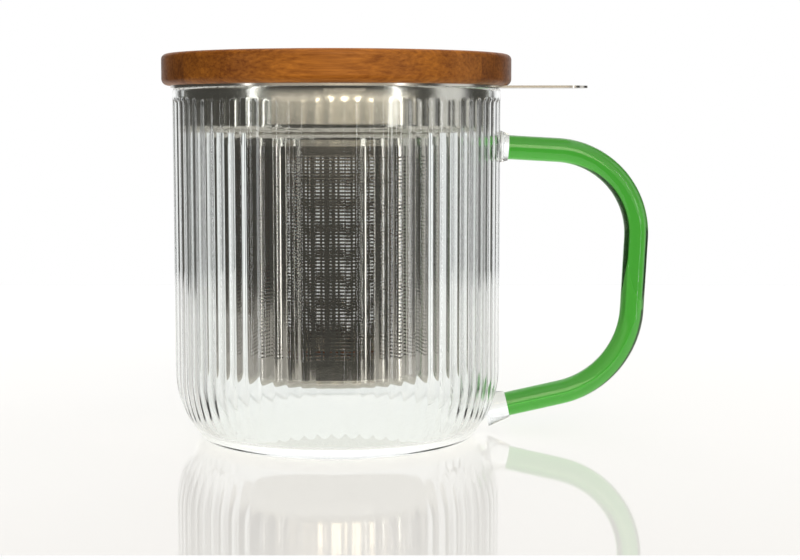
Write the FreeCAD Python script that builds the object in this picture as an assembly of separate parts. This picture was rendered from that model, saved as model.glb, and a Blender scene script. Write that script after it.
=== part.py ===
# Lidded tea mug. A ribbed glass cup with a green glass handle, a steel infuser
# basket that hangs on the rim by its flange, and a loose wooden lid on top.
# Units are millimetres. The origin is the centre of the cup's resting face,
# +Z runs up the cup's axis and +X points at the handle and the lift tab.

import FreeCAD, Part
import math
import os

# Glass cup
CUP_RADIUS = 42.6
CUP_HEIGHT = 90.5
CUP_WALL = 2.2
FLOOR_THICKNESS = 3.2
CORNER_RADIUS = 25.0
CORNER_START_HEIGHT = 17.5
FOOT_EDGE_RADIUS = 0.8

# Ribs pressed in the outside of the cup
RIB_COUNT = 76
RIB_DEPTH = 0.4
RIB_FADED_DEPTH = 0.08
RIB_FADED_INSET = 0.12
RIB_FOOT_HEIGHT = 3.3
RIB_FADE_SECTIONS = 5

# Smooth lip of the cup
LIP_HEIGHT = 2.3
LIP_OUTER_EDGE_RADIUS = 0.9
LIP_INNER_EDGE_RADIUS = 0.5

# Glass handle, a round rod bent in the XZ plane
ROD_DIAMETER = 6.3
ROD_TOP_BELOW_RIM = 15.3
ROD_TOP_DROP = 2.0
ROD_REACH = 79.5
ROD_SIDE_LEAN = 2.8
ROD_LOW_CORNER_HEIGHT = 14.4
ROD_LOW_SLOPE_DEG = 12.7
ROD_TOP_BEND_RADIUS = 22.0
ROD_LOW_BEND_RADIUS = 24.0

# Clear glass welds between the rod and the cup
WELD_STANDOFF = 2.1
WELD_TIP_DIAMETER = 7.0
WELD_ROOT_DIAMETER = 9.4
WELD_BURIED_LENGTH = 1.6

# Infuser rim, one pressing with flange, collar, ledge and neck
SHEET_THICKNESS = 0.6
FLANGE_OVERHANG = 0.4
COLLAR_CLEARANCE = 0.8
COLLAR_DEPTH = 11.3
COLLAR_FOOT_RADIUS = 2.2
COLLAR_TOP_RADIUS = 0.4
NECK_LENGTH = 3.2
NECK_RADIUS_OF_BEND = 1.6
NECK_CLEARANCE = 0.05
TAB_REACH = 65.0
TAB_WIDTH = 17.0
TAB_CORNER_RADIUS = 6.0

# Infuser screen and its base cup
SCREEN_RADIUS = 28.4
SCREEN_SHEET = 0.4
SCREEN_BOTTOM_HEIGHT = 16.1
BASE_CUP_HEIGHT = 2.2
BASE_CUP_EDGE_RADIUS = 1.5

# Wooden lid, staves glued edge to edge and turned round
LID_OVERHANG = 2.7
LID_THICKNESS = 8.0
LID_TOP_EDGE_RADIUS = 1.4
LID_LOWER_EDGE_RADIUS = 1.7
STAVE_COUNT = 5

# Plug under the lid and its silicone ring
PLUG_CLEARANCE = 2.0
PLUG_HEIGHT = 5.2
PLUG_EDGE_RADIUS = 0.8
GROOVE_DEPTH = 1.2
RING_HEIGHT = 2.6
RING_CLEARANCE = 0.35
FIN_THICKNESS = 0.7
FIN_ROOT_INSET = 0.2

# Margin by which a cutting tool runs past what it cuts
CUT_MARGIN = 1.0

# Sizes that follow from the ones above
BORE_RADIUS = CUP_RADIUS - CUP_WALL
CORNER_CENTRE_RADIUS = CUP_RADIUS - CORNER_RADIUS
RIB_TOP_HEIGHT = CUP_HEIGHT - LIP_HEIGHT
ROD_TOP_HEIGHT = CUP_HEIGHT - ROD_TOP_BELOW_RIM
COLLAR_RADIUS = BORE_RADIUS - COLLAR_CLEARANCE
COLLAR_INNER_RADIUS = COLLAR_RADIUS - SHEET_THICKNESS
FLANGE_RADIUS = CUP_RADIUS + FLANGE_OVERHANG
FLANGE_TOP = CUP_HEIGHT + SHEET_THICKNESS
LEDGE_BOTTOM = CUP_HEIGHT - COLLAR_DEPTH
LEDGE_TOP = LEDGE_BOTTOM + SHEET_THICKNESS
NECK_BOTTOM = LEDGE_BOTTOM - NECK_LENGTH
NECK_INNER_RADIUS = SCREEN_RADIUS + NECK_CLEARANCE
SCREEN_INNER_RADIUS = SCREEN_RADIUS - SCREEN_SHEET
BASE_CUP_TOP = SCREEN_BOTTOM_HEIGHT + BASE_CUP_HEIGHT
LID_RADIUS = CUP_RADIUS + LID_OVERHANG
PLUG_RADIUS = COLLAR_INNER_RADIUS - PLUG_CLEARANCE
RING_RADIUS = COLLAR_INNER_RADIUS - RING_CLEARANCE
FULL_TURN_DEG = 360.0

UP = FreeCAD.Vector(0, 0, 1)
ORIGIN = FreeCAD.Vector(0, 0, 0)


def at(radius, height):
    """A point of a turned profile, or of the handle's plane."""
    return FreeCAD.Vector(radius, 0, height)


def bend(before, corner, after, radius):
    """Ends and middle of the arc that rounds one corner."""
    back = (before - corner).normalize()
    ahead = (after - corner).normalize()
    half_angle = back.getAngle(ahead) / 2
    inward = (back + ahead).normalize()
    setback = radius / math.tan(half_angle)
    centre = corner + inward * (radius / math.sin(half_angle))
    return corner + back * setback, centre - inward * radius, corner + ahead * setback


def line_edges(start, end):
    """The straight edge between two points, or nothing if they meet."""
    if start.isEqual(end, 1e-6):
        return []
    return [Part.LineSegment(start, end).toShape()]


def rounded_wire(corners, closed):
    """Straight runs joined by tangent arcs. Each corner is (point, radius)."""
    count = len(corners)
    edges = []
    first = None
    last = None
    for index, (corner, radius) in enumerate(corners):
        is_end = not closed and index in (0, count - 1)
        if radius > 0 and not is_end:
            before = corners[index - 1][0]
            after = corners[(index + 1) % count][0]
            entry, middle, leave = bend(before, corner, after, radius)
            arc = [Part.Arc(entry, middle, leave).toShape()]
        else:
            entry = corner
            leave = corner
            arc = []
        if last is None:
            first = entry
        else:
            edges += line_edges(last, entry)
        edges += arc
        last = leave
    if closed:
        edges += line_edges(last, first)
    return Part.Wire(edges)


def turned(wire):
    """The solid that a closed profile makes when it is turned about +Z."""
    return Part.Face(wire).revolve(ORIGIN, UP, FULL_TURN_DEG)


def corner_radius_at(height, inset):
    """Radius of the cup's rounded lower corner, moved in by the inset."""
    reach = CORNER_RADIUS - inset
    drop = CORNER_START_HEIGHT - height
    return CORNER_CENTRE_RADIUS + math.sqrt(reach ** 2 - drop ** 2)


def corner_arc(inset, low, high):
    """The part of the cup's rounded corner between two heights."""
    middle = (low + high) / 2
    points = [at(corner_radius_at(height, inset), height) for height in (low, middle, high)]
    return Part.Arc(*points).toShape()


def ribbed_wire(radius, height, depth):
    """A ring of outward round ribs that meet in narrow valleys."""
    step = 2 * math.pi / RIB_COUNT
    valley = radius - depth

    def spot(reach, angle):
        return FreeCAD.Vector(reach * math.cos(angle), reach * math.sin(angle), height)

    edges = []
    for rib in range(RIB_COUNT):
        start = rib * step
        arc = Part.Arc(spot(valley, start), spot(radius, start + step / 2), spot(valley, start + step))
        edges.append(arc.toShape())
    return Part.Wire(edges)


def make_ribbed_barrel():
    """The straight ribbed wall, still solid inside."""
    ring = Part.Face(ribbed_wire(CUP_RADIUS, CORNER_START_HEIGHT, RIB_DEPTH))
    return ring.extrude(UP * (RIB_TOP_HEIGHT - CORNER_START_HEIGHT))


def make_ribbed_corner():
    """The rounded corner, where the ribs run in and fade towards the foot."""
    wires = []
    for section in range(RIB_FADE_SECTIONS):
        share = section / (RIB_FADE_SECTIONS - 1)
        height = RIB_FOOT_HEIGHT + share * (CORNER_START_HEIGHT - RIB_FOOT_HEIGHT)
        depth = RIB_FADED_DEPTH + share * (RIB_DEPTH - RIB_FADED_DEPTH)
        crest = corner_radius_at(height, 0) - (1 - share) * RIB_FADED_INSET
        wires.append(ribbed_wire(crest, height, depth))
    return Part.makeLoft(wires, True, False)


def make_foot():
    """The smooth foot below the ribs, with the flat resting face."""
    arc = corner_arc(0, FOOT_EDGE_RADIUS, RIB_FOOT_HEIGHT)
    flat_radius = corner_radius_at(FOOT_EDGE_RADIUS, 0) - FOOT_EDGE_RADIUS
    edge_lean = FOOT_EDGE_RADIUS * (1 - math.cos(math.pi / 4))
    edge_middle = at(flat_radius + FOOT_EDGE_RADIUS * math.sin(math.pi / 4), edge_lean)
    edge_end = at(corner_radius_at(FOOT_EDGE_RADIUS, 0), FOOT_EDGE_RADIUS)
    edge = Part.Arc(at(flat_radius, 0), edge_middle, edge_end)
    outer = corner_radius_at(RIB_FOOT_HEIGHT, 0)
    top = Part.LineSegment(at(outer, RIB_FOOT_HEIGHT), at(0, RIB_FOOT_HEIGHT))
    axis = Part.LineSegment(at(0, RIB_FOOT_HEIGHT), ORIGIN)
    base = Part.LineSegment(ORIGIN, at(flat_radius, 0))
    edges = [base.toShape(), edge.toShape(), arc, top.toShape(), axis.toShape()]
    return turned(Part.Wire(edges))


def make_cavity():
    """The smooth inside of the cup."""
    top = CUP_HEIGHT + CUT_MARGIN
    arc = corner_arc(CUP_WALL, FLOOR_THICKNESS, CORNER_START_HEIGHT)
    floor_radius = corner_radius_at(FLOOR_THICKNESS, CUP_WALL)
    floor = Part.LineSegment(at(0, FLOOR_THICKNESS), at(floor_radius, FLOOR_THICKNESS))
    wall = Part.LineSegment(at(BORE_RADIUS, CORNER_START_HEIGHT), at(BORE_RADIUS, top))
    mouth = Part.LineSegment(at(BORE_RADIUS, top), at(0, top))
    axis = Part.LineSegment(at(0, top), at(0, FLOOR_THICKNESS))
    return turned(Part.Wire([floor.toShape(), arc, wall.toShape(), mouth.toShape(), axis.toShape()]))


def make_lip():
    """The smooth ring above the ribs, with a narrow flat land on top."""
    corners = [
        (at(BORE_RADIUS, RIB_TOP_HEIGHT), 0),
        (at(CUP_RADIUS, RIB_TOP_HEIGHT), 0),
        (at(CUP_RADIUS, CUP_HEIGHT), LIP_OUTER_EDGE_RADIUS),
        (at(BORE_RADIUS, CUP_HEIGHT), LIP_INNER_EDGE_RADIUS),
    ]
    return turned(rounded_wire(corners, True))


def make_cup_outside():
    """The cup's outer form below the lip, still solid inside."""
    return make_ribbed_barrel().fuse(make_ribbed_corner()).fuse(make_foot())


def make_cup_envelope(outside):
    """All that the cup and its mouth take up, which a weld stays out of."""
    height = CUP_HEIGHT - RIB_TOP_HEIGHT
    return outside.fuse(Part.makeCylinder(CUP_RADIUS, height, at(0, RIB_TOP_HEIGHT)))


def make_mug_body(outside):
    """The whole cup, blown and pressed in one piece of clear glass."""
    return outside.cut(make_cavity()).fuse(make_lip()).removeSplitter()


def rod_corners():
    """Corners of the handle's centreline, from the top weld to the low one."""
    slope = math.tan(math.radians(ROD_LOW_SLOPE_DEG))
    low_corner = at(ROD_REACH - ROD_SIDE_LEAN, ROD_LOW_CORNER_HEIGHT)
    top_start = at(CUP_RADIUS + WELD_STANDOFF, ROD_TOP_HEIGHT)
    low_end_reach = CUP_RADIUS + WELD_STANDOFF
    low_end = at(low_end_reach, ROD_LOW_CORNER_HEIGHT - slope * (low_corner.x - low_end_reach))
    return [
        (top_start, 0),
        (at(ROD_REACH, ROD_TOP_HEIGHT - ROD_TOP_DROP), ROD_TOP_BEND_RADIUS),
        (low_corner, ROD_LOW_BEND_RADIUS),
        (low_end, 0),
    ]


def make_handle_rod():
    """The green rod, swept along straight runs and tangent bends."""
    corners = rod_corners()
    start = corners[0][0]
    heading = corners[1][0] - start
    ring = Part.Wire(Part.makeCircle(ROD_DIAMETER / 2, start, heading))
    return rounded_wire(corners, False).makePipeShell([ring], True, False)


def make_weld(tip, heading, reach, envelope):
    """Clear glass that flares from the end of the rod onto the cup's wall."""
    direction = heading.normalize()
    blank = Part.makeCone(WELD_TIP_DIAMETER / 2, WELD_ROOT_DIAMETER / 2, reach, tip, direction)
    return blank.cut(envelope)


def make_handle_upper_weld(envelope):
    """The weld under the lip."""
    corners = rod_corners()
    tip = corners[0][0]
    return make_weld(tip, tip - corners[1][0], WELD_STANDOFF + WELD_BURIED_LENGTH, envelope)


def make_handle_lower_weld(envelope):
    """The weld on the cup's rounded corner, longer because the wall runs in."""
    corners = rod_corners()
    tip = corners[-1][0]
    wall_gap = CUP_RADIUS - corner_radius_at(tip.z, 0)
    return make_weld(tip, tip - corners[-2][0], WELD_STANDOFF + wall_gap + WELD_BURIED_LENGTH, envelope)


def make_tab():
    """The flat lift tab, a tongue of the flange over the handle."""
    root = CUP_RADIUS - LIP_OUTER_EDGE_RADIUS
    half = TAB_WIDTH / 2

    def spot(x, y):
        return FreeCAD.Vector(x, y, CUP_HEIGHT)

    corners = [
        (spot(root, -half), 0),
        (spot(TAB_REACH, -half), TAB_CORNER_RADIUS),
        (spot(TAB_REACH, half), TAB_CORNER_RADIUS),
        (spot(root, half), 0),
    ]
    return Part.Face(rounded_wire(corners, True)).extrude(UP * SHEET_THICKNESS)


def make_infuser_rim():
    """One steel pressing: flange with tab, collar, ledge and neck."""
    neck_outer = NECK_INNER_RADIUS + SHEET_THICKNESS
    corners = [
        (at(FLANGE_RADIUS, CUP_HEIGHT), 0),
        (at(COLLAR_RADIUS, CUP_HEIGHT), COLLAR_TOP_RADIUS),
        (at(COLLAR_RADIUS, LEDGE_BOTTOM), COLLAR_FOOT_RADIUS),
        (at(neck_outer, LEDGE_BOTTOM), NECK_RADIUS_OF_BEND),
        (at(neck_outer, NECK_BOTTOM), 0),
        (at(NECK_INNER_RADIUS, NECK_BOTTOM), 0),
        (at(NECK_INNER_RADIUS, LEDGE_TOP), NECK_RADIUS_OF_BEND + SHEET_THICKNESS),
        (at(COLLAR_INNER_RADIUS, LEDGE_TOP), COLLAR_FOOT_RADIUS - SHEET_THICKNESS),
        (at(COLLAR_INNER_RADIUS, FLANGE_TOP), COLLAR_TOP_RADIUS + SHEET_THICKNESS),
        (at(FLANGE_RADIUS, FLANGE_TOP), 0),
    ]
    return turned(rounded_wire(corners, True)).fuse(make_tab()).removeSplitter()


def make_infuser_screen():
    """The etched sheet rolled to a tube, from the base cup up into the neck."""
    top = NECK_BOTTOM + NECK_LENGTH / 2
    corners = [
        (at(SCREEN_INNER_RADIUS, BASE_CUP_TOP), 0),
        (at(SCREEN_RADIUS, BASE_CUP_TOP), 0),
        (at(SCREEN_RADIUS, top), 0),
        (at(SCREEN_INNER_RADIUS, top), 0),
    ]
    return turned(rounded_wire(corners, True))


def make_infuser_base_cup():
    """The shallow pressed cup that closes the screen below."""
    floor = SCREEN_BOTTOM_HEIGHT + SCREEN_SHEET
    corners = [
        (at(0, SCREEN_BOTTOM_HEIGHT), 0),
        (at(SCREEN_RADIUS, SCREEN_BOTTOM_HEIGHT), BASE_CUP_EDGE_RADIUS),
        (at(SCREEN_RADIUS, BASE_CUP_TOP), 0),
        (at(SCREEN_INNER_RADIUS, BASE_CUP_TOP), 0),
        (at(SCREEN_INNER_RADIUS, floor), BASE_CUP_EDGE_RADIUS - SCREEN_SHEET),
        (at(0, floor), 0),
    ]
    return turned(rounded_wire(corners, True))


def make_lid_disc():
    """The turned disc before it is parted into its staves."""
    top = FLANGE_TOP + LID_THICKNESS
    corners = [
        (at(0, FLANGE_TOP), 0),
        (at(LID_RADIUS, FLANGE_TOP), LID_LOWER_EDGE_RADIUS),
        (at(LID_RADIUS, top), LID_TOP_EDGE_RADIUS),
        (at(0, top), 0),
    ]
    return turned(rounded_wire(corners, True))


def make_lid_stave(disc, index):
    """One stave. The glue lines run along X, so the grain crosses the view."""
    width = 2 * LID_RADIUS / STAVE_COUNT
    low_y = -LID_RADIUS + index * width
    length = 2 * (LID_RADIUS + CUT_MARGIN)
    corner = FreeCAD.Vector(-length / 2, low_y, FLANGE_TOP - CUT_MARGIN)
    return disc.common(Part.makeBox(length, width, LID_THICKNESS + 2 * CUT_MARGIN, corner))


def ring_heights():
    """Lower and upper edge of the ring's groove in the plug."""
    low = FLANGE_TOP - (PLUG_HEIGHT + RING_HEIGHT) / 2
    return low, low + RING_HEIGHT


def make_lid_plug():
    """The wooden disc glued under the lid, grooved for the ring."""
    bottom = FLANGE_TOP - PLUG_HEIGHT
    groove_radius = PLUG_RADIUS - GROOVE_DEPTH
    low, high = ring_heights()
    corners = [
        (at(0, bottom), 0),
        (at(PLUG_RADIUS, bottom), PLUG_EDGE_RADIUS),
        (at(PLUG_RADIUS, low), 0),
        (at(groove_radius, low), 0),
        (at(groove_radius, high), 0),
        (at(PLUG_RADIUS, high), 0),
        (at(PLUG_RADIUS, FLANGE_TOP), 0),
        (at(0, FLANGE_TOP), 0),
    ]
    return turned(rounded_wire(corners, True))


def make_lid_ring():
    """The silicone ring: a band in the groove with two soft fins."""
    low, high = ring_heights()
    inner = PLUG_RADIUS - GROOVE_DEPTH
    root = PLUG_RADIUS - FIN_ROOT_INSET
    corners = [
        (at(inner, low), 0),
        (at(RING_RADIUS, low), 0),
        (at(RING_RADIUS, low + FIN_THICKNESS), 0),
        (at(root, low + FIN_THICKNESS), 0),
        (at(root, high - FIN_THICKNESS), 0),
        (at(RING_RADIUS, high - FIN_THICKNESS), 0),
        (at(RING_RADIUS, high), 0),
        (at(inner, high), 0),
    ]
    return turned(rounded_wire(corners, True))


def write_part(name, shape):
    """Write one piece to its own file."""
    solids = shape.Solids
    if len(solids) != 1 or not shape.isValid():
        raise ValueError(f"{name} is not one valid solid")
    solids[0].exportStep(f"parts/{name}.step")
    print(name, round(shape.Volume, 1))


os.makedirs("parts", exist_ok=True)
cup_outside = make_cup_outside()
cup_envelope = make_cup_envelope(cup_outside)
lid_disc = make_lid_disc()
write_part("mug_body", make_mug_body(cup_outside))
write_part("handle_rod", make_handle_rod())
write_part("handle_upper_weld", make_handle_upper_weld(cup_envelope))
write_part("handle_lower_weld", make_handle_lower_weld(cup_envelope))
write_part("infuser_rim", make_infuser_rim())
write_part("infuser_screen", make_infuser_screen())
write_part("infuser_base_cup", make_infuser_base_cup())
for stave in range(STAVE_COUNT):
    write_part(f"lid_stave_{stave + 1}", make_lid_stave(lid_disc, stave))
write_part("lid_plug", make_lid_plug())
write_part("lid_ring", make_lid_ring())
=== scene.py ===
import math

import bmesh
import bpy
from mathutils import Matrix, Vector


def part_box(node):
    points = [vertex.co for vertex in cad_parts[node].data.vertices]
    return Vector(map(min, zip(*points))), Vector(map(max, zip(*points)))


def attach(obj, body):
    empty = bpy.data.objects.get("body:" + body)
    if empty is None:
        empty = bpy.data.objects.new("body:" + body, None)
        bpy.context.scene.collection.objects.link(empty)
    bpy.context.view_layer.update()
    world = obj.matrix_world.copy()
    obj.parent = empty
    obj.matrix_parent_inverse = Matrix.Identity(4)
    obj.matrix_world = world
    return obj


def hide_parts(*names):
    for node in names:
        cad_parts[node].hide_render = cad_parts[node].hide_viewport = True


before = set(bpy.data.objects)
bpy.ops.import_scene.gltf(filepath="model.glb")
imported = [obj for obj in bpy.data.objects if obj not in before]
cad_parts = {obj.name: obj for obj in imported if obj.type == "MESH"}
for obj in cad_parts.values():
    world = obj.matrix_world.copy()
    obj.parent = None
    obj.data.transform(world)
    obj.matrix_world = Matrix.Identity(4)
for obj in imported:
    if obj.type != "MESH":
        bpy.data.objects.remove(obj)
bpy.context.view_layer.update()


# The camera stands about 0.4 m from the cup, just below the height of its rim, and looks
# square at the plane of the handle. The rim is almost edge on and the foot is seen from above.

VIEW_WIDTH_PX = 800
FOCAL_PX = 1560.0
SENSOR_WIDTH_MM = 36.0
CAMERA_X = 0.0164
CAMERA_DISTANCE = 0.409
CAMERA_HEIGHT = 0.0837
CAMERA_SHIFT_Y = -0.03
HORIZON_ABOVE_CENTRE_PX = 165.5


def make_camera():
    """The camera at the viewpoint of the photograph."""
    lens = bpy.data.cameras.new("view_camera")
    lens.sensor_width = SENSOR_WIDTH_MM
    lens.lens = FOCAL_PX / VIEW_WIDTH_PX * SENSOR_WIDTH_MM
    lens.shift_y = CAMERA_SHIFT_Y
    lens.clip_start = 0.01
    lens.clip_end = 50.0
    tilt = math.atan((HORIZON_ABOVE_CENTRE_PX + CAMERA_SHIFT_Y * VIEW_WIDTH_PX) / FOCAL_PX)
    camera = bpy.data.objects.new("view_camera", lens)
    camera.location = (CAMERA_X, -CAMERA_DISTANCE, CAMERA_HEIGHT)
    camera.rotation_euler = (math.pi / 2 - tilt, 0.0, 0.0)
    bpy.context.scene.collection.objects.link(camera)
    bpy.context.scene.camera = camera


make_camera()


# The cup is clear borosilicate glass, blown in a mould that presses round ribs into
# the outside. The inside is smooth. The lip and the foot are fire-polished and plain.

RIB_COUNT = 76
RIB_DEPTH = 0.0004
RIB_STEPS = 12
RIB_FOOT_HEIGHT = 0.0033
RIB_FULL_HEIGHT = 0.0150
RIB_END_LENGTH = 0.0016
CUP_WALL = 0.0022
CUP_FLOOR = 0.0032
CUP_CORNER_RADIUS = 0.0250
CUP_CORNER_START = 0.0175
CUP_LIP_HEIGHT = 0.0023
CUP_LIP_OUTER_ROUND = 0.0009
CUP_LIP_INNER_ROUND = 0.0005
CUP_FOOT_ROUND = 0.0008
CUP_FLOOR_ROUND = 0.0016
CUP_FLAT_EDGE = 0.0006
CUP_LIP_TO_BORE = 0.0004
FOOT_STEPS = 4
CORNER_STEPS = 26
WALL_STEPS = 6
RIB_END_STEPS = 8
LIP_OUTER_STEPS = 6
LIP_INNER_STEPS = 4
FLOOR_CORNER_STEPS = 16
FLOOR_ROUND_STEPS = 6
TINY = 1e-6
GLASS_IOR = 1.474
GLASS_STREAK_SPACING = 0.00714


def linear(hex_colour):
    """An sRGB hex value as the linear colour that a shader takes."""
    channels = [int(hex_colour[i:i + 2], 16) / 255 for i in (1, 3, 5)]
    return tuple(c / 12.92 if c <= 0.04045 else ((c + 0.055) / 1.055) ** 2.4 for c in channels) + (1.0,)


def add_node(tree, kind, links=(), **settings):
    """A node with its settings. A link is (own input, source), where the source is
    another node's output socket, or a node, whose first output is then meant."""
    node = tree.nodes.new(kind)
    inputs = settings.pop("inputs", {})
    for name, value in settings.items():
        setattr(node, name, value)
    for name, value in inputs.items():
        node.inputs[name].default_value = value
    for name, source in links:
        if isinstance(source, bpy.types.Node):
            source = source.outputs[0]
        tree.links.new(source, node.inputs[name])
    return node


def new_material(name):
    """An empty node material with its output, and the tree to build in."""
    material = bpy.data.materials.new(name)
    material.use_nodes = True
    tree = material.node_tree
    tree.nodes.clear()
    return material, tree, add_node(tree, "ShaderNodeOutputMaterial")


def arc_points(centre, radius, start_deg, end_deg, steps):
    """Points of an arc in the turned profile's plane, both ends included."""
    angles = [math.radians(start_deg + (end_deg - start_deg) * i / steps) for i in range(steps + 1)]
    return [(centre[0] + radius * math.cos(a), centre[1] + radius * math.sin(a)) for a in angles]


def line_points(start, end, steps):
    """Evenly spaced points from start up to, but not including, end."""
    return [(start[0] + (end[0] - start[0]) * i / steps, start[1] + (end[1] - start[1]) * i / steps)
            for i in range(steps)]


def turned_mesh(name, profile, columns, closed=False):
    """A mesh turned about the cup's axis. A profile point on the axis becomes a pole."""
    mesh = bmesh.new()
    rings = []
    for radius, height in profile:
        if radius < TINY:
            rings.append([mesh.verts.new((0.0, 0.0, height))])
            continue
        angles = [2 * math.pi * i / columns for i in range(columns)]
        rings.append([mesh.verts.new((radius * math.cos(a), radius * math.sin(a), height))
                      for a in angles])
    pairs = list(zip(rings, rings[1:]))
    if closed:
        pairs.append((rings[-1], rings[0]))
    for low, high in pairs:
        for i in range(columns):
            j = (i + 1) % columns
            corners = [low[i % len(low)], low[j % len(low)], high[j % len(high)], high[i % len(high)]]
            corners = [v for k, v in enumerate(corners) if v not in corners[:k]]
            if len(corners) > 2:
                mesh.faces.new(corners).smooth = True
    bmesh.ops.recalc_face_normals(mesh, faces=mesh.faces)
    data = bpy.data.meshes.new(name)
    mesh.to_mesh(data)
    mesh.free()
    piece = bpy.data.objects.new(name, data)
    bpy.context.scene.collection.objects.link(piece)
    return piece


def run_nodes(piece, tree, values):
    """Apply a geometry tree to a piece, with its inputs set by identifier."""
    modifier = piece.modifiers.new(tree.name, "NODES")
    modifier.node_group = tree
    for item in tree.interface.items_tree:
        if item.item_type == "SOCKET" and item.in_out == "INPUT" and item.name in values:
            modifier[item.identifier] = values[item.name]
    bpy.context.view_layer.update()
    depsgraph = bpy.context.evaluated_depsgraph_get()
    result = bpy.data.meshes.new_from_object(piece.evaluated_get(depsgraph), depsgraph=depsgraph)
    piece.modifiers.remove(modifier)
    piece.data = result
    return piece


def new_geometry_tree(name, inputs):
    """An empty geometry tree with named inputs. Gives the tree, its input and output."""
    tree = bpy.data.node_groups.new(name, "GeometryNodeTree")
    tree.interface.new_socket("Geometry", in_out="INPUT", socket_type="NodeSocketGeometry")
    for label, kind in inputs:
        tree.interface.new_socket(label, in_out="INPUT", socket_type=kind)
    tree.interface.new_socket("Geometry", in_out="OUTPUT", socket_type="NodeSocketGeometry")
    return tree, tree.nodes.new("NodeGroupInput"), tree.nodes.new("NodeGroupOutput")


def pressed_ribs_tree():
    """Ribs pressed in a turned wall: valleys are pushed in between round crests."""
    tree, given, result = new_geometry_tree("pressed_ribs", [
        ("Count", "NodeSocketInt"), ("Depth", "NodeSocketFloat"), ("Foot", "NodeSocketFloat"),
        ("Full", "NodeSocketFloat"), ("Top", "NodeSocketFloat"), ("End", "NodeSocketFloat"),
        ("Material", "NodeSocketMaterial")])
    top = given.outputs["Top"]
    place = add_node(tree, "GeometryNodeInputPosition")
    split = add_node(tree, "ShaderNodeSeparateXYZ", [("Vector", place)])
    x, y, z = split.outputs
    angle = add_node(tree, "ShaderNodeMath", [(0, y), (1, x)], operation="ARCTAN2")
    half_count = add_node(tree, "ShaderNodeMath", [(0, given.outputs["Count"])],
                          operation="DIVIDE", inputs={1: 2.0})
    half_turns = add_node(tree, "ShaderNodeMath", [(0, angle), (1, half_count)], operation="MULTIPLY")
    wave = add_node(tree, "ShaderNodeMath", [(0, half_turns)], operation="SINE")
    crest = add_node(tree, "ShaderNodeMath", [(0, wave)], operation="ABSOLUTE")
    valley = add_node(tree, "ShaderNodeMath", [(1, crest)], operation="SUBTRACT", inputs={0: 1.0})
    rise = add_node(tree, "ShaderNodeMapRange", [
        ("Value", z), ("From Min", given.outputs["Foot"]), ("From Max", given.outputs["Full"])],
        interpolation_type="SMOOTHSTEP")
    end_start = add_node(tree, "ShaderNodeMath", [(0, top), (1, given.outputs["End"])],
                         operation="SUBTRACT")
    fall = add_node(tree, "ShaderNodeMapRange", [
        ("Value", z), ("From Min", end_start), ("From Max", top)],
        interpolation_type="SMOOTHSTEP", inputs={"To Min": 1.0, "To Max": 0.0})
    outside = add_node(tree, "GeometryNodeInputNamedAttribute", data_type="FLOAT",
                       inputs={"Name": "outside"})
    shape = add_node(tree, "ShaderNodeMath", [(0, rise), (1, fall)], operation="MULTIPLY")
    depth = given.outputs["Depth"]
    for share in (valley, shape, outside.outputs["Attribute"]):
        depth = add_node(tree, "ShaderNodeMath", [(0, depth), (1, share)], operation="MULTIPLY")
    inward = add_node(tree, "ShaderNodeMath", [(0, depth)], operation="MULTIPLY", inputs={1: -1.0})
    flat = add_node(tree, "ShaderNodeCombineXYZ", [("X", x), ("Y", y)])
    outward = add_node(tree, "ShaderNodeVectorMath", [(0, flat)], operation="NORMALIZE")
    push = add_node(tree, "ShaderNodeVectorMath", [(0, outward), ("Scale", inward)], operation="SCALE")
    moved = add_node(tree, "GeometryNodeSetPosition", [
        ("Geometry", given.outputs["Geometry"]), ("Offset", push)])
    plain = add_node(tree, "GeometryNodeRealizeInstances", [("Geometry", moved)])
    named = add_node(tree, "GeometryNodeSetMaterial", [
        ("Geometry", plain), ("Material", given.outputs["Material"])])
    tree.links.new(named.outputs[0], result.inputs[0])
    return tree


def glass_surface(tree, output, glass, hex_tint):
    """Put a glass on the surface. Shadow rays pass it with a tint instead, so that
    lamps shine through it on what stands inside."""
    path = add_node(tree, "ShaderNodeLightPath")
    open_way = add_node(tree, "ShaderNodeBsdfTransparent", inputs={"Color": linear(hex_tint)})
    mixed = add_node(tree, "ShaderNodeMixShader", [
        ("Fac", path.outputs["Is Shadow Ray"]), (1, glass), (2, open_way)])
    tree.links.new(mixed.outputs[0], output.inputs["Surface"])


def clear_borosilicate():
    """Clear borosilicate, fire-polished: colourless and bright, with faint streaks
    drawn down the wall as the glass was blown."""
    material, tree, output = new_material("clear_borosilicate_glass")
    coordinates = add_node(tree, "ShaderNodeTexCoord")
    drawn = add_node(tree, "ShaderNodeMapping", [("Vector", coordinates.outputs["Object"])],
                     inputs={"Scale": (1.0, 1.0, 0.12)})
    streaks = add_node(tree, "ShaderNodeTexNoise", [("Vector", drawn)],
                       inputs={"Scale": 1 / GLASS_STREAK_SPACING, "Detail": 1.0})
    polish = add_node(tree, "ShaderNodeMapRange", [("Value", streaks)],
                      inputs={"To Min": 0.0, "To Max": 0.01})
    glass = add_node(tree, "ShaderNodeBsdfPrincipled", [("Roughness", polish)], inputs={
        "Base Color": linear("#FDFFFE"), "IOR": GLASS_IOR, "Transmission Weight": 1.0})
    glass_surface(tree, output, glass, "#F6FAF8")
    return material


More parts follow.
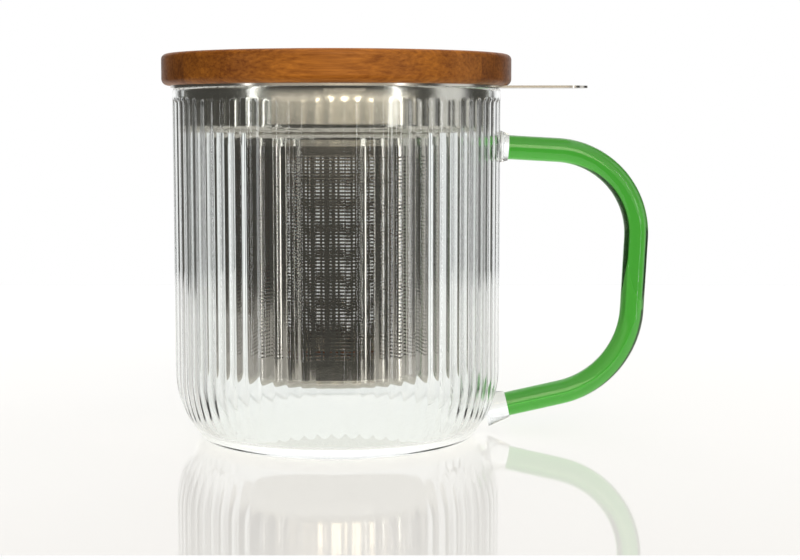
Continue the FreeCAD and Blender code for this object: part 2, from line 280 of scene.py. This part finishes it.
def mug_profile():
    """The cup's section from the middle of the resting face, up the outside, over
    the lip and down to the middle of the floor. Gives the points and the outside's count."""
    low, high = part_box("mug_body")
    radius, top = high[0], high[2]
    centre = (radius - CUP_CORNER_RADIUS, CUP_CORNER_START)
    start_deg = -math.degrees(math.asin((CUP_CORNER_START - CUP_FOOT_ROUND) / CUP_CORNER_RADIUS))
    corner = arc_points(centre, CUP_CORNER_RADIUS, start_deg, 0.0, CORNER_STEPS)
    foot_centre = (corner[0][0] - CUP_FOOT_ROUND, CUP_FOOT_ROUND)
    foot = arc_points(foot_centre, CUP_FOOT_ROUND, -90.0, 0.0, FOOT_STEPS)[:-1]
    rib_top = top - CUP_LIP_HEIGHT
    rib_end = rib_top - RIB_END_LENGTH
    wall = line_points((radius, CUP_CORNER_START), (radius, rib_end), WALL_STEPS)[1:]
    wall += line_points((radius, rib_end), (radius, rib_top), RIB_END_STEPS)
    wall.append((radius, rib_top))
    round_centre = (radius - CUP_LIP_OUTER_ROUND, top - CUP_LIP_OUTER_ROUND)
    lip = arc_points(round_centre, CUP_LIP_OUTER_ROUND, 0.0, 90.0, LIP_OUTER_STEPS)
    foot_edge = foot[0][0]
    base = [(0.0, 0.0), (foot_edge * 0.5, 0.0), (foot_edge - CUP_FLAT_EDGE, 0.0)]
    outside = base + foot + corner + wall + lip
    bore = radius - CUP_WALL
    inner_round = (bore + CUP_LIP_INNER_ROUND, top - CUP_LIP_INNER_ROUND)
    inside = arc_points(inner_round, CUP_LIP_INNER_ROUND, 90.0, 180.0, LIP_INNER_STEPS)
    bore_top = top - CUP_LIP_INNER_ROUND - CUP_LIP_TO_BORE
    inside += line_points((bore, bore_top), (bore, CUP_CORNER_START), WALL_STEPS)
    inner_corner = CUP_CORNER_RADIUS - CUP_WALL
    reach = inner_corner - CUP_FLOOR_ROUND
    drop = CUP_CORNER_START - CUP_FLOOR - CUP_FLOOR_ROUND
    stop_deg = -math.degrees(math.asin(drop / reach))
    inside += arc_points(centre, inner_corner, 0.0, stop_deg, FLOOR_CORNER_STEPS)
    floor_centre = (centre[0] + math.sqrt(reach ** 2 - drop ** 2), CUP_FLOOR + CUP_FLOOR_ROUND)
    inside += arc_points(floor_centre, CUP_FLOOR_ROUND, stop_deg, -90.0, FLOOR_ROUND_STEPS)[1:]
    floor_edge = inside[-1][0]
    inside += [(floor_edge - CUP_FLAT_EDGE, CUP_FLOOR), (floor_edge * 0.5, CUP_FLOOR), (0.0, CUP_FLOOR)]
    return outside + inside, len(outside)


def make_mug_body(material):
    """The ribbed cup, which replaces the CAD cup with the same sizes."""
    profile, outside_count = mug_profile()
    columns = RIB_COUNT * RIB_STEPS
    piece = turned_mesh("cup_ribbed_glass", profile, columns)
    marks = piece.data.attributes.new("outside", "FLOAT", "POINT")
    rib_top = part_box("mug_body")[1][2] - CUP_LIP_HEIGHT
    first_inside = 1 + (outside_count - 1) * columns
    for index, vertex in enumerate(piece.data.vertices):
        marks.data[index].value = float(index < first_inside and vertex.co.z < rib_top + TINY)
    run_nodes(piece, pressed_ribs_tree(), {
        "Count": RIB_COUNT, "Depth": RIB_DEPTH, "Foot": RIB_FOOT_HEIGHT, "Full": RIB_FULL_HEIGHT,
        "Top": rib_top, "End": RIB_END_LENGTH, "Material": material})
    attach(piece, "mug")
    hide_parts("mug_body")


clear_glass = clear_borosilicate()
make_mug_body(clear_glass)


# The handle is a solid rod of green borosilicate, bent hot. Clear glass welds join
# its ends to the cup. Thick glass takes up light, so the middle of the rod is deepest.

GREEN_RIPPLE_SPACING = 0.0111


def green_borosilicate():
    """Green borosilicate rod, fire-polished. Its colour is in the glass, not on it."""
    material, tree, output = new_material("green_borosilicate_glass")
    coordinates = add_node(tree, "ShaderNodeTexCoord")
    waves = add_node(tree, "ShaderNodeTexNoise", [("Vector", coordinates.outputs["Object"])],
                     inputs={"Scale": 1 / GREEN_RIPPLE_SPACING, "Detail": 1.0})
    ripple = add_node(tree, "ShaderNodeBump", [("Height", waves)],
                      inputs={"Strength": 0.02, "Distance": 0.0006})
    glass = add_node(tree, "ShaderNodeBsdfPrincipled", [("Normal", ripple)], inputs={
        "Base Color": linear("#F4FFF2"), "Roughness": 0.0, "IOR": GLASS_IOR, "Transmission Weight": 1.0})
    inside = add_node(tree, "ShaderNodeVolumeAbsorption", inputs={
        "Color": (0.20, 0.70, 0.04, 1.0), "Density": 520.0})
    glass_surface(tree, output, glass, "#9AD68E")
    tree.links.new(inside.outputs[0], output.inputs["Volume"])
    return material


def dress(node, material):
    """Give a CAD node's own mesh one material."""
    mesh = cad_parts[node].data
    mesh.materials.clear()
    mesh.materials.append(material)


dress("handle_rod", green_borosilicate())
dress("handle_upper_weld", clear_glass)
dress("handle_lower_weld", clear_glass)


# The infuser is thin stainless steel, three pieces welded together: a pressed rim with
# flange, collar and tab, a rolled and etched screen, and a pressed base cup. The rows of
# holes are spaced as in the photo, but their number round the tube is estimated.

SCREEN_SHEET = 0.0004
SCREEN_ROWS = 56
SCREEN_COLUMNS = 176
SCREEN_ROW_PITCH = 0.000903
SCREEN_HOLE_SHARE = 0.60
SCREEN_HOLES_BOTTOM = 0.0231
SCREEN_BANDS = 2
HOLE_SIDES = 6
WELD_DISTANCE = 0.00001
BRUSH_LENGTH = 0.00833
BRUSH_FINENESS = 30.0


def satin_steel(name, hex_colour, roughness):
    """Stainless steel with a fine satin brush that runs round the piece."""
    material, tree, output = new_material(name)
    coordinates = add_node(tree, "ShaderNodeTexCoord")
    drawn = add_node(tree, "ShaderNodeMapping", [("Vector", coordinates.outputs["Object"])],
                     inputs={"Scale": (1.0, 1.0, BRUSH_FINENESS)})
    scratches = add_node(tree, "ShaderNodeTexNoise", [("Vector", drawn)],
                         inputs={"Scale": 1 / BRUSH_LENGTH, "Detail": 4.0, "Roughness": 0.6})
    shine = add_node(tree, "ShaderNodeMapRange", [("Value", scratches)], inputs={
        "From Min": 0.3, "From Max": 0.7, "To Min": roughness * 0.85, "To Max": roughness * 1.15})
    metal = add_node(tree, "ShaderNodeBsdfPrincipled", [("Roughness", shine)],
                     inputs={"Base Color": linear(hex_colour), "Metallic": 1.0})
    tree.links.new(metal.outputs[0], output.inputs["Surface"])
    return material


def etched_cell():
    """One square of the etched sheet with its hole: both faces and the hole's wall."""
    mesh = bmesh.new()
    square = [(-0.5, -0.5), (0.5, -0.5), (0.5, 0.5), (-0.5, 0.5)]
    turns = [2 * math.pi * (i + 0.5) / HOLE_SIDES for i in range(HOLE_SIDES)]
    reach = SCREEN_HOLE_SHARE / 2
    hole = [(reach * math.cos(t), reach * math.sin(t)) for t in turns]
    layers = []
    for height in (0.0, 1.0):
        frame_ring = [mesh.verts.new((x, y, height)) for x, y in square]
        hole_ring = [mesh.verts.new((x, y, height)) for x, y in hole]
        layers.append((frame_ring, hole_ring))
    for level, (frame_ring, hole_ring) in enumerate(layers):
        faces = []
        for i in range(HOLE_SIDES):
            j = (i + 1) % HOLE_SIDES
            middle = (turns[i] + math.pi / HOLE_SIDES) % (2 * math.pi)
            next_middle = (middle + 2 * math.pi / HOLE_SIDES) % (2 * math.pi)
            corner = nearest_corner(square, middle)
            following = nearest_corner(square, next_middle)
            faces.append([hole_ring[i], frame_ring[corner], hole_ring[j]])
            if following != corner:
                faces.append([hole_ring[j], frame_ring[corner], frame_ring[following]])
        for face in faces:
            mesh.faces.new(face if level else face[::-1])
    for i in range(HOLE_SIDES):
        j = (i + 1) % HOLE_SIDES
        mesh.faces.new([layers[0][1][i], layers[0][1][j], layers[1][1][j], layers[1][1][i]])
    for face in mesh.faces:
        face.smooth = False
    data = bpy.data.meshes.new("etched_cell")
    mesh.to_mesh(data)
    mesh.free()
    return bpy.data.objects.new("etched_cell", data)


def nearest_corner(square, angle):
    """Which corner of the square lies nearest to a direction."""
    across, up = math.cos(angle), math.sin(angle)
    return max(range(4), key=lambda i: across * square[i][0] + up * square[i][1])


def etched_screen_tree():
    """A flat grid with one etched cell on each square, rolled round to a tube."""
    tree, given, result = new_geometry_tree("etched_screen", [
        ("Cell", "NodeSocketObject"), ("Rows", "NodeSocketInt"), ("Columns", "NodeSocketInt"),
        ("Pitch", "NodeSocketFloat"), ("Radius", "NodeSocketFloat"), ("Sheet", "NodeSocketFloat"),
        ("Bottom", "NodeSocketFloat"), ("Material", "NodeSocketMaterial")])
    rows, columns, pitch = (given.outputs[name] for name in ("Rows", "Columns", "Pitch"))
    radius, sheet, bottom = (given.outputs[name] for name in ("Radius", "Sheet", "Bottom"))
    girth = add_node(tree, "ShaderNodeMath", [(0, radius)], operation="MULTIPLY", inputs={1: 2 * math.pi})
    height = add_node(tree, "ShaderNodeMath", [(0, rows), (1, pitch)], operation="MULTIPLY")
    width = add_node(tree, "ShaderNodeMath", [(0, girth), (1, columns)], operation="DIVIDE")
    grid_width = add_node(tree, "ShaderNodeMath", [(0, girth), (1, width)], operation="SUBTRACT")
    grid_height = add_node(tree, "ShaderNodeMath", [(0, height), (1, pitch)], operation="SUBTRACT")
    spots = add_node(tree, "GeometryNodeMeshGrid", [
        ("Size X", grid_width), ("Size Y", grid_height), ("Vertices X", columns), ("Vertices Y", rows)])
    cell = add_node(tree, "GeometryNodeObjectInfo", [("Object", given.outputs["Cell"])])
    scale = add_node(tree, "ShaderNodeCombineXYZ", [("X", width), ("Y", pitch), ("Z", sheet)])
    placed = add_node(tree, "GeometryNodeInstanceOnPoints", [
        ("Points", spots.outputs["Mesh"]), ("Instance", cell.outputs["Geometry"]), ("Scale", scale)])
    plain = add_node(tree, "GeometryNodeRealizeInstances", [("Geometry", placed)])
    place = add_node(tree, "GeometryNodeInputPosition")
    split = add_node(tree, "ShaderNodeSeparateXYZ", [("Vector", place)])
    along, up, out = split.outputs
    angle = add_node(tree, "ShaderNodeMath", [(0, along), (1, radius)], operation="DIVIDE")
    bore = add_node(tree, "ShaderNodeMath", [(0, radius), (1, sheet)], operation="SUBTRACT")
    reach = add_node(tree, "ShaderNodeMath", [(0, out), (1, bore)], operation="ADD")
    half_height = add_node(tree, "ShaderNodeMath", [(0, height)], operation="MULTIPLY", inputs={1: 0.5})
    middle = add_node(tree, "ShaderNodeMath", [(0, bottom), (1, half_height)], operation="ADD")
    lift = add_node(tree, "ShaderNodeMath", [(0, up), (1, middle)], operation="ADD")
    rolled = add_node(tree, "ShaderNodeCombineXYZ", [("Z", lift)])
    for axis, wave in (("X", "COSINE"), ("Y", "SINE")):
        share = add_node(tree, "ShaderNodeMath", [(0, angle)], operation=wave)
        place_on_axis = add_node(tree, "ShaderNodeMath", [(0, reach), (1, share)], operation="MULTIPLY")
        tree.links.new(place_on_axis.outputs[0], rolled.inputs[axis])
    moved = add_node(tree, "GeometryNodeSetPosition", [("Geometry", plain), ("Position", rolled)])
    welded = add_node(tree, "GeometryNodeMergeByDistance", [("Geometry", moved)],
                      inputs={"Distance": WELD_DISTANCE})
    named = add_node(tree, "GeometryNodeSetMaterial", [
        ("Geometry", welded), ("Material", given.outputs["Material"])])
    tree.links.new(named.outputs[0], result.inputs[0])
    return tree


def end_rings(rim):
    """The inner and outer ring of vertices at an open end, in order round the tube."""
    def place(vertex):
        turns = math.atan2(vertex.co.y, vertex.co.x) / (2 * math.pi)
        return round(turns * SCREEN_COLUMNS) % SCREEN_COLUMNS, vertex.co.xy.length

    ends = sorted({vertex for edge in rim for vertex in edge.verts}, key=place)
    return ends[0::2], ends[1::2]


def join_rings(mesh, first, second, pattern):
    """A band of faces from one ring to the next, with the pattern face's material."""
    for i in range(len(first)):
        j = (i + 1) % len(first)
        mesh.faces.new([first[i], first[j], second[j], second[i]], pattern)


def close_band(piece, low, high):
    """Carry a perforated band's open edges on to plain margins and close its ends. The
    faces are made in order round the tube, so that each run gives the same mesh."""
    mesh = bmesh.new()
    mesh.from_mesh(piece.data)
    open_edges = [edge for edge in mesh.edges if edge.is_boundary]
    heights = [edge.verts[0].co.z for edge in open_edges]
    middle = (min(heights) + max(heights)) / 2
    for target, is_top in ((low, False), (high, True)):
        rim = [edge for edge in open_edges if (edge.verts[0].co.z > middle) == is_top]
        rings = end_rings(rim)
        pattern = rim[0].link_faces[0]
        if abs(rim[0].verts[0].co.z - target) > TINY:
            margins = [[mesh.verts.new((*vertex.co.xy, target)) for vertex in ring] for ring in rings]
            for ring, margin in zip(rings, margins):
                join_rings(mesh, ring, margin, pattern)
            rings = margins
        join_rings(mesh, *rings, pattern)
    bmesh.ops.recalc_face_normals(mesh, faces=mesh.faces)
    mesh.to_mesh(piece.data)
    mesh.free()


def make_screen(material):
    """The perforated tube, in bands one above the other that weld into one screen."""
    low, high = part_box("infuser_screen")
    tree = etched_screen_tree()
    cell = etched_cell()
    bpy.context.scene.collection.objects.link(cell)
    rows = SCREEN_ROWS // SCREEN_BANDS
    for band in range(SCREEN_BANDS):
        name = f"infuser_screen_band_{band + 1}"
        piece = bpy.data.objects.new(name, bpy.data.meshes.new(name))
        bpy.context.scene.collection.objects.link(piece)
        bottom = SCREEN_HOLES_BOTTOM + band * rows * SCREEN_ROW_PITCH
        run_nodes(piece, tree, {
            "Cell": cell, "Rows": rows, "Columns": SCREEN_COLUMNS, "Pitch": SCREEN_ROW_PITCH,
            "Radius": high[0], "Sheet": SCREEN_SHEET, "Bottom": bottom, "Material": material})
        band_low = low[2] if band == 0 else bottom
        band_high = high[2] if band == SCREEN_BANDS - 1 else bottom + rows * SCREEN_ROW_PITCH
        close_band(piece, band_low, band_high)
        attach(piece, "infuser")
        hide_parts("infuser_screen")
    bpy.data.objects.remove(cell)


make_screen(satin_steel("etched_stainless_steel", "#B4AFA8", 0.10))
dress("infuser_rim", satin_steel("pressed_stainless_steel", "#C4C0B8", 0.18))
dress("infuser_base_cup", satin_steel("drawn_stainless_steel", "#C4C0B8", 0.22))


# The lid is bamboo, heated until it turns brown, glued from five staves, turned
# round, sanded and oiled. The fibres run along the staves and show as fine flecks.

FIBRE_SPACING = 0.000714
FIBRE_SHORTENING = 0.035
BAND_SPACING = 0.00385
CLOUD_SPACING = 0.0286
STAVE_TONES = [("#C87D2D", "#7E430F"), ("#B8702A", "#6E3A10"), ("#BC7732", "#784214"),
               ("#A9652B", "#62330F"), ("#B36E30", "#6E3B12")]
PLUG_TONES = ("#C07030", "#783912")
SILICONE_GRAIN_SPACING = 0.00111


def caramel_bamboo(name, hex_pale, hex_deep, offset):
    """Caramelised bamboo: long fibre bundles under a millimetre apart, satin oil. The
    disc's ends, where the fibres end, are darkened as painted shade for the light falling off round the
    lid. Its strength is matched."""
    material, tree, output = new_material(name)
    coordinates = add_node(tree, "ShaderNodeTexCoord")
    fibres = add_node(tree, "ShaderNodeMapping", [("Vector", coordinates.outputs["Object"])], inputs={
        "Location": (offset, offset * 0.7, offset * 0.3), "Scale": (FIBRE_SHORTENING, 1.0, 1.0)})
    bundles = add_node(tree, "ShaderNodeTexNoise", [("Vector", fibres)],
                       inputs={"Scale": 1 / FIBRE_SPACING, "Detail": 5.0, "Roughness": 0.65})
    bands = add_node(tree, "ShaderNodeTexNoise", [("Vector", fibres)],
                     inputs={"Scale": 1 / BAND_SPACING, "Detail": 2.0})
    clouds = add_node(tree, "ShaderNodeTexNoise", [("Vector", coordinates.outputs["Object"])],
                      inputs={"Scale": 1 / CLOUD_SPACING, "Detail": 2.0})
    parts = [add_node(tree, "ShaderNodeMath", [(0, noise)], operation="MULTIPLY", inputs={1: share})
             for noise, share in ((bundles, 0.55), (bands, 0.3), (clouds, 0.15))]
    fibre_tone = add_node(tree, "ShaderNodeMath", [(0, parts[0]), (1, parts[1])], operation="ADD")
    tone = add_node(tree, "ShaderNodeMath", [(0, fibre_tone), (1, parts[2])], operation="ADD")
    ramp = add_node(tree, "ShaderNodeValToRGB", [("Fac", tone)])
    for element, place, hex_colour in zip(ramp.color_ramp.elements, (0.36, 0.62), (hex_deep, hex_pale)):
        element.position = place
        element.color = linear(hex_colour)
    # Painted shade: the lid's side is darkened towards its two ends along X, for the light falling off
    # round the lid.
    facing = add_node(tree, "ShaderNodeSeparateXYZ", [("Vector", coordinates.outputs["Normal"])])
    along_fibres = add_node(tree, "ShaderNodeMath", [(0, facing)], operation="ABSOLUTE")
    painted_end_shade = add_node(tree, "ShaderNodeMapRange", [("Value", along_fibres)],
                         inputs={"From Min": 0.15, "From Max": 0.9, "To Min": 1.0, "To Max": 0.55})
    tone_with_painted_shade = add_node(tree, "ShaderNodeVectorMath", [(0, ramp), ("Scale", painted_end_shade)], operation="SCALE")
    shine = add_node(tree, "ShaderNodeMapRange", [("Value", bundles)],
                     inputs={"From Min": 0.3, "From Max": 0.7, "To Min": 0.48, "To Max": 0.34})
    pores = add_node(tree, "ShaderNodeBump", [("Height", bundles)],
                     inputs={"Strength": 0.25, "Distance": 0.00012})
    wood = add_node(tree, "ShaderNodeBsdfPrincipled", [
        ("Base Color", tone_with_painted_shade), ("Roughness", shine), ("Normal", pores)],
        inputs={"IOR": 1.5, "Specular IOR Level": 0.18})
    tree.links.new(wood.outputs[0], output.inputs["Surface"])
    return material


def make_lid():
    """Give each stave and the plug its own cut of the bamboo."""
    staves = sorted(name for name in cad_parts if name.startswith("lid_stave_"))
    for index, node in enumerate(staves):
        pale, deep = STAVE_TONES[index % len(STAVE_TONES)]
        dress(node, caramel_bamboo(f"caramel_bamboo_{index + 1}", pale, deep, 0.13 * (index + 1)))
    dress("lid_plug", caramel_bamboo("caramel_bamboo_plug", *PLUG_TONES, 0.9))


def pale_silicone():
    """Food-safe silicone, moulded: milky, matt and slightly see-through at its fins."""
    material, tree, output = new_material("moulded_silicone")
    coordinates = add_node(tree, "ShaderNodeTexCoord")
    dust = add_node(tree, "ShaderNodeTexNoise", [("Vector", coordinates.outputs["Object"])],
                    inputs={"Scale": 1 / SILICONE_GRAIN_SPACING, "Detail": 3.0})
    grain = add_node(tree, "ShaderNodeBump", [("Height", dust)],
                     inputs={"Strength": 0.1, "Distance": 0.00005})
    soft = add_node(tree, "ShaderNodeBsdfPrincipled", [("Normal", grain)], inputs={
        "Base Color": linear("#DAD9D2"), "Roughness": 0.45, "IOR": 1.41, "Subsurface Weight": 0.3,
        "Subsurface Scale": 0.002})
    tree.links.new(soft.outputs[0], output.inputs["Surface"])
    return material


make_lid()
dress("lid_ring", pale_silicone())


# The studio: a small white acrylic table with a light under it, a white card behind and one
# at the handle's side, a warm key panel in front and a white ceiling. The rest of the room is
# dim, which gives clear glass its dark edges. The camera sees a plain white backdrop.

TABLE_FRONT = -0.118
TABLE_BACK = 0.35
TABLE_HALF_WIDTH = 0.30
TABLE_GLOW = 0.35
CARD = (1.0, 1.0, 1.0)
KEY_PANEL = (1.0, 0.92, 0.80)
DIM_ROOM = (0.085, 0.083, 0.077)
TABLE_HAZE_SPACING = 0.0333
MUG_MIDDLE = (0.0, 0.0, 0.05)
MIX_COLOUR_A = 6
MIX_COLOUR_B = 7
MIX_COLOUR_RESULT = 2
BACK_CARD_LEFT = [(-180, CARD), (-152, CARD), (-146, DIM_ROOM)]
KEY_IN_FRONT = [(-52, DIM_ROOM), (-42, KEY_PANEL), (52, KEY_PANEL), (62, DIM_ROOM)]
SIDE_AND_BACK_CARD = [(74, DIM_ROOM), (80, CARD), (104, CARD), (110, DIM_ROOM), (146, DIM_ROOM),
                      (152, CARD), (180, CARD)]


def round_the_room(tree, split, stops):
    """A colour by compass bearing: 0 is in front of the mug, 90 at its handle's side."""
    x, y = split.outputs[:2]
    front = add_node(tree, "ShaderNodeMath", [(0, y)], operation="MULTIPLY", inputs={1: -1.0})
    bearing = add_node(tree, "ShaderNodeMath", [(0, x), (1, front)], operation="ARCTAN2")
    turns = add_node(tree, "ShaderNodeMath", [(0, bearing)], operation="DIVIDE", inputs={1: 2 * math.pi})
    share = add_node(tree, "ShaderNodeMath", [(0, turns)], operation="ADD", inputs={1: 0.5})
    ring = add_node(tree, "ShaderNodeValToRGB", [("Fac", share)])
    elements = ring.color_ramp.elements
    while len(elements) < len(stops):
        elements.new(0.5)
    for element, (degrees, colour) in zip(elements, stops):
        element.position = degrees / 360 + 0.5
        element.color = colour + (1.0,)
    return ring


def make_table():
    """White acrylic, polished. The light under it shows as an even glow."""
    corners = [(-TABLE_HALF_WIDTH, TABLE_FRONT, 0.0), (TABLE_HALF_WIDTH, TABLE_FRONT, 0.0),
               (TABLE_HALF_WIDTH, TABLE_BACK, 0.0), (-TABLE_HALF_WIDTH, TABLE_BACK, 0.0)]
    data = bpy.data.meshes.new("table_top")
    data.from_pydata(corners, [], [(0, 1, 2, 3)])
    table = bpy.data.objects.new("table_top", data)
    bpy.context.scene.collection.objects.link(table)
    material, tree, output = new_material("white_acrylic_table")
    coordinates = add_node(tree, "ShaderNodeTexCoord")
    haze = add_node(tree, "ShaderNodeTexNoise", [("Vector", coordinates.outputs["Object"])],
                    inputs={"Scale": 1 / TABLE_HAZE_SPACING, "Detail": 2.0})
    shine = add_node(tree, "ShaderNodeMapRange", [("Value", haze)],
                     inputs={"To Min": 0.03, "To Max": 0.06})
    acrylic = add_node(tree, "ShaderNodeBsdfPrincipled", [("Roughness", shine)], inputs={
        "Base Color": linear("#C2C1BE"), "IOR": 1.49, "Emission Color": linear("#FFFFFF"),
        "Emission Strength": TABLE_GLOW})
    tree.links.new(acrylic.outputs[0], output.inputs["Surface"])
    data.materials.append(material)


def make_lamp(name, place, size, watts, hex_colour="#FFFFFF"):
    """A soft box that faces the middle of the mug."""
    lamp = bpy.data.lights.new(name, "AREA")
    lamp.shape = "RECTANGLE"
    lamp.size, lamp.size_y = size
    lamp.energy = watts
    lamp.color = linear(hex_colour)[:3]
    holder = bpy.data.objects.new(name, lamp)
    holder.location = place
    aim = Vector(MUG_MIDDLE) - Vector(place)
    holder.rotation_euler = aim.to_track_quat("-Z", "Y").to_euler()
    holder.visible_camera = False
    bpy.context.scene.collection.objects.link(holder)


def make_room():
    """The cards, the key panel and the dim room, the same for glass, steel and wood."""
    world = bpy.data.worlds.new("studio")
    bpy.context.scene.world = world
    world.use_nodes = True
    tree = world.node_tree
    tree.nodes.clear()
    output = add_node(tree, "ShaderNodeOutputWorld")
    coordinates = add_node(tree, "ShaderNodeTexCoord")
    split = add_node(tree, "ShaderNodeSeparateXYZ", [("Vector", coordinates.outputs["Generated"])])
    below = round_the_room(tree, split, BACK_CARD_LEFT + SIDE_AND_BACK_CARD)
    above = round_the_room(tree, split, BACK_CARD_LEFT + KEY_IN_FRONT + SIDE_AND_BACK_CARD)
    horizon, ceiling = (add_node(
        tree, "ShaderNodeMapRange", [("Value", split.outputs["Z"])], interpolation_type="SMOOTHSTEP",
        inputs={"From Min": low, "From Max": high}) for low, high in ((-0.01, 0.02), (0.75, 0.90)))
    walls = add_node(tree, "ShaderNodeMix", [
        ("Factor", horizon), (MIX_COLOUR_A, below), (MIX_COLOUR_B, above)], data_type="RGBA")
    room = add_node(tree, "ShaderNodeMix", [
        ("Factor", ceiling), (MIX_COLOUR_A, walls.outputs[MIX_COLOUR_RESULT])],
        data_type="RGBA", inputs={MIX_COLOUR_B: CARD + (1.0,)})
    path = add_node(tree, "ShaderNodeLightPath")
    shown = add_node(tree, "ShaderNodeMix", [
        ("Factor", path.outputs["Is Camera Ray"]), (MIX_COLOUR_A, room.outputs[MIX_COLOUR_RESULT])],
        data_type="RGBA", inputs={MIX_COLOUR_B: CARD + (1.0,)})
    light = add_node(tree, "ShaderNodeBackground", [("Color", shown.outputs[MIX_COLOUR_RESULT])])
    tree.links.new(light.outputs[0], output.inputs["Surface"])


make_table()
make_room()
make_lamp("lamp_key", place=(0.12, -0.95, 0.42), size=(0.5, 0.5), watts=2.6, hex_colour="#FFEFD6")
make_lamp("lamp_strip_left", place=(-0.64, -0.40, 0.05), size=(0.05, 0.7), watts=0.5)
make_lamp("lamp_strip_right", place=(0.52, -0.54, 0.05), size=(0.05, 0.7), watts=0.5)

scene = bpy.context.scene
scene.view_settings.view_transform = "Standard"
scene.view_settings.look = "None"
scene.cycles.use_denoising = True
scene.cycles.max_bounces = 24
scene.cycles.transmission_bounces = 20
scene.cycles.transparent_max_bounces = 16
scene.cycles.glossy_bounces = 10
scene.cycles.blur_glossy = 0.0
